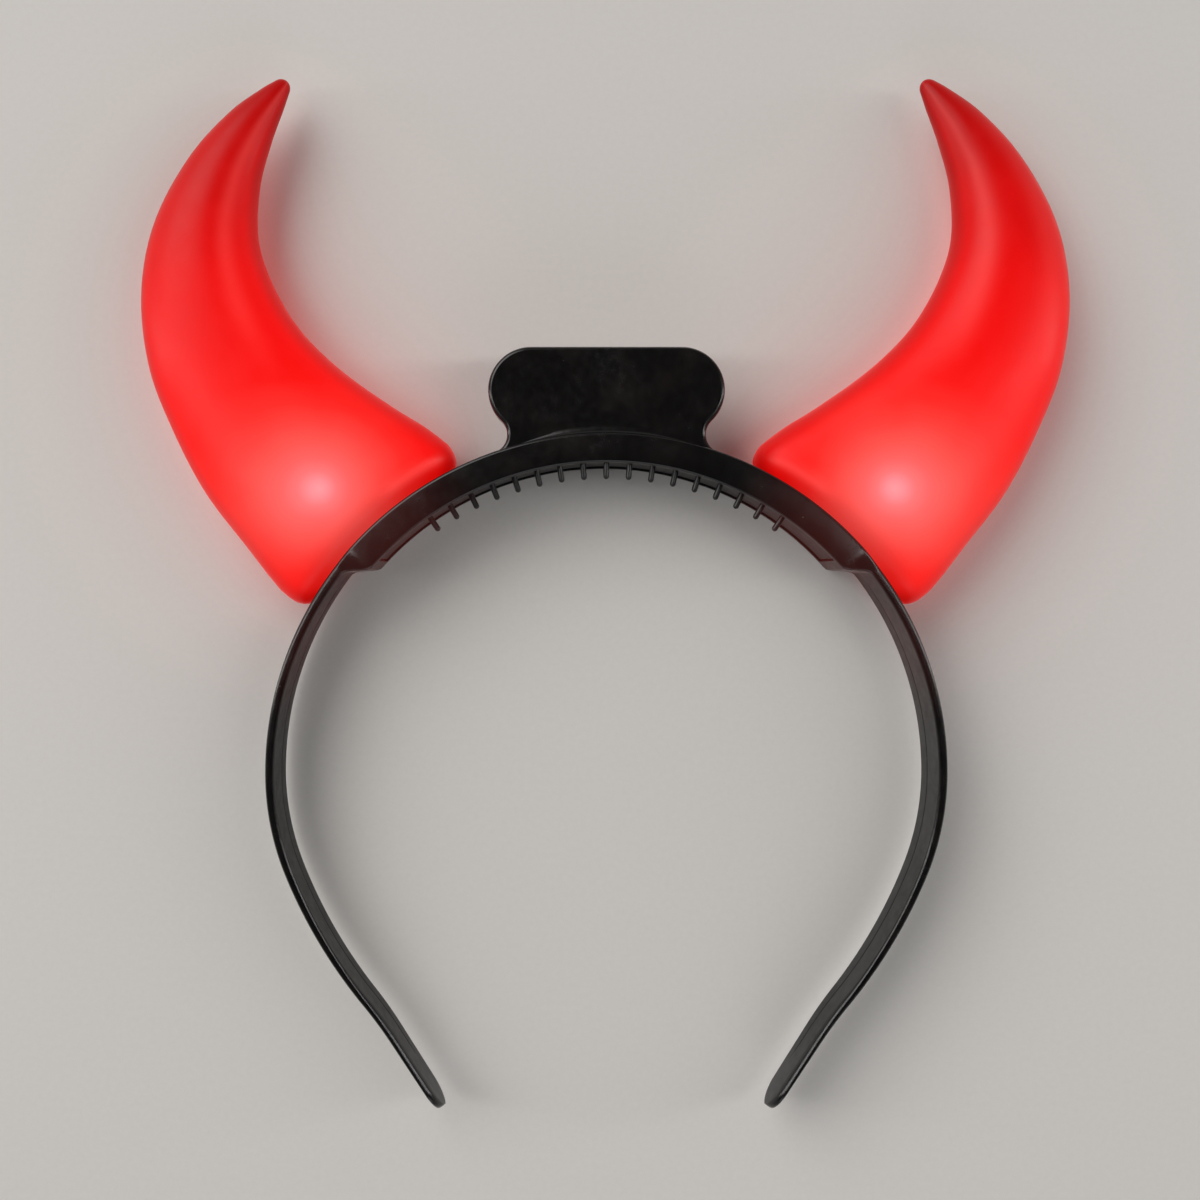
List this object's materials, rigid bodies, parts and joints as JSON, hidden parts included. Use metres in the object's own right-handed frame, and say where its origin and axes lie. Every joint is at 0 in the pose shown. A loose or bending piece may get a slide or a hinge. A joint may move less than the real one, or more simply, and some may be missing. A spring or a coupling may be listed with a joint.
{
  "type": "devil horns headband",
  "caption": "Costume headband: black springy arch with comb pins under a hollow housing, a bare plate on the crown, and curved hollow horns lit red from inside.",
  "frame": {"origin": "middle of the bounding box's lower face, where the headband lies on its back", "axes": "+X to the right in the front view, +Y from the leg ends toward the horn tips, +Z from the flat back up to the front"},
  "size_m": [0.1898, 0.2114, 0.02],
  "materials": {
    "band_plastic": "black, semi-gloss, moulded",
    "comb_plastic": "black, satin, moulded",
    "horn_plastic": "red, translucent, satin",
    "lamp_plastic": "clear, glossy, lit"
  },
  "bodies": {
    "root": {"headband": "band_plastic", "comb_strip": "comb_plastic", "horn_left": "horn_plastic", "horn_right": "horn_plastic", "lamp_left": "lamp_plastic", "lamp_right": "lamp_plastic"}
  },
  "joints": []
}
